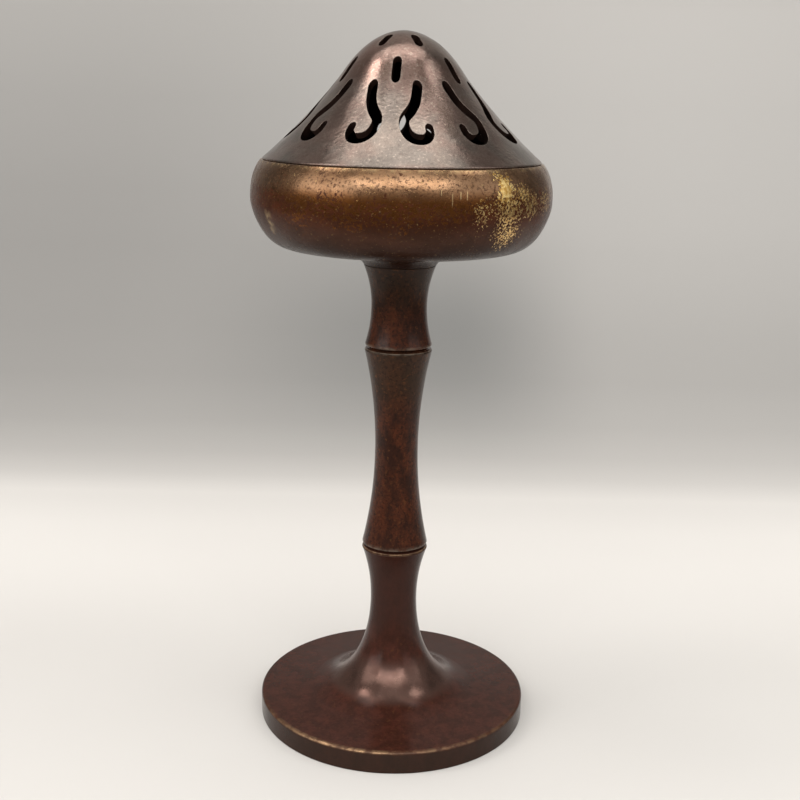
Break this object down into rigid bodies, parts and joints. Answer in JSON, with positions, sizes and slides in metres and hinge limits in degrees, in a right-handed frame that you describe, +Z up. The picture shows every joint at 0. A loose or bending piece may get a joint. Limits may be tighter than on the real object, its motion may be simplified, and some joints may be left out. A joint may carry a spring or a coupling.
{
  "type": "pedestal incense burner",
  "caption": "Round pierced-dome incense burner on a slender turned pedestal: the cover lifts off a shallow bowl that burns incense powder.",
  "frame": {"origin": "on the ground plane under the middle of the foot", "axes": "+Z up along the stem, -Y towards the viewer of the picture"},
  "size_m": [0.0812, 0.0812, 0.1943],
  "materials": {
    "cover_bronze": "dark satin patina with worn bright edges at the piercings",
    "bowl_bronze": "mottled brown patina rubbed golden on the shoulder",
    "stem_bronze": "dark reddish-brown satin patina",
    "foot_bronze": "dark red-brown semi-gloss patina with a worn golden edge",
    "steel": "plain zinc-grey fastener"
  },
  "bodies": {
    "stand": {"bowl": "bowl_bronze", "upper_internode": "stem_bronze", "middle_internode": "stem_bronze", "foot": "foot_bronze", "tie_rod": "steel", "foot_washer": "steel", "foot_nut": "steel"},
    "cover": {"cover": "cover_bronze", "cover_register_ring": "cover_bronze"}
  },
  "joints": [
    {"name": "cover_lift", "type": "slide", "parent": "stand", "child": "cover", "axis": [0, 0, 1], "range_m": [0, 0.06]}
  ]
}
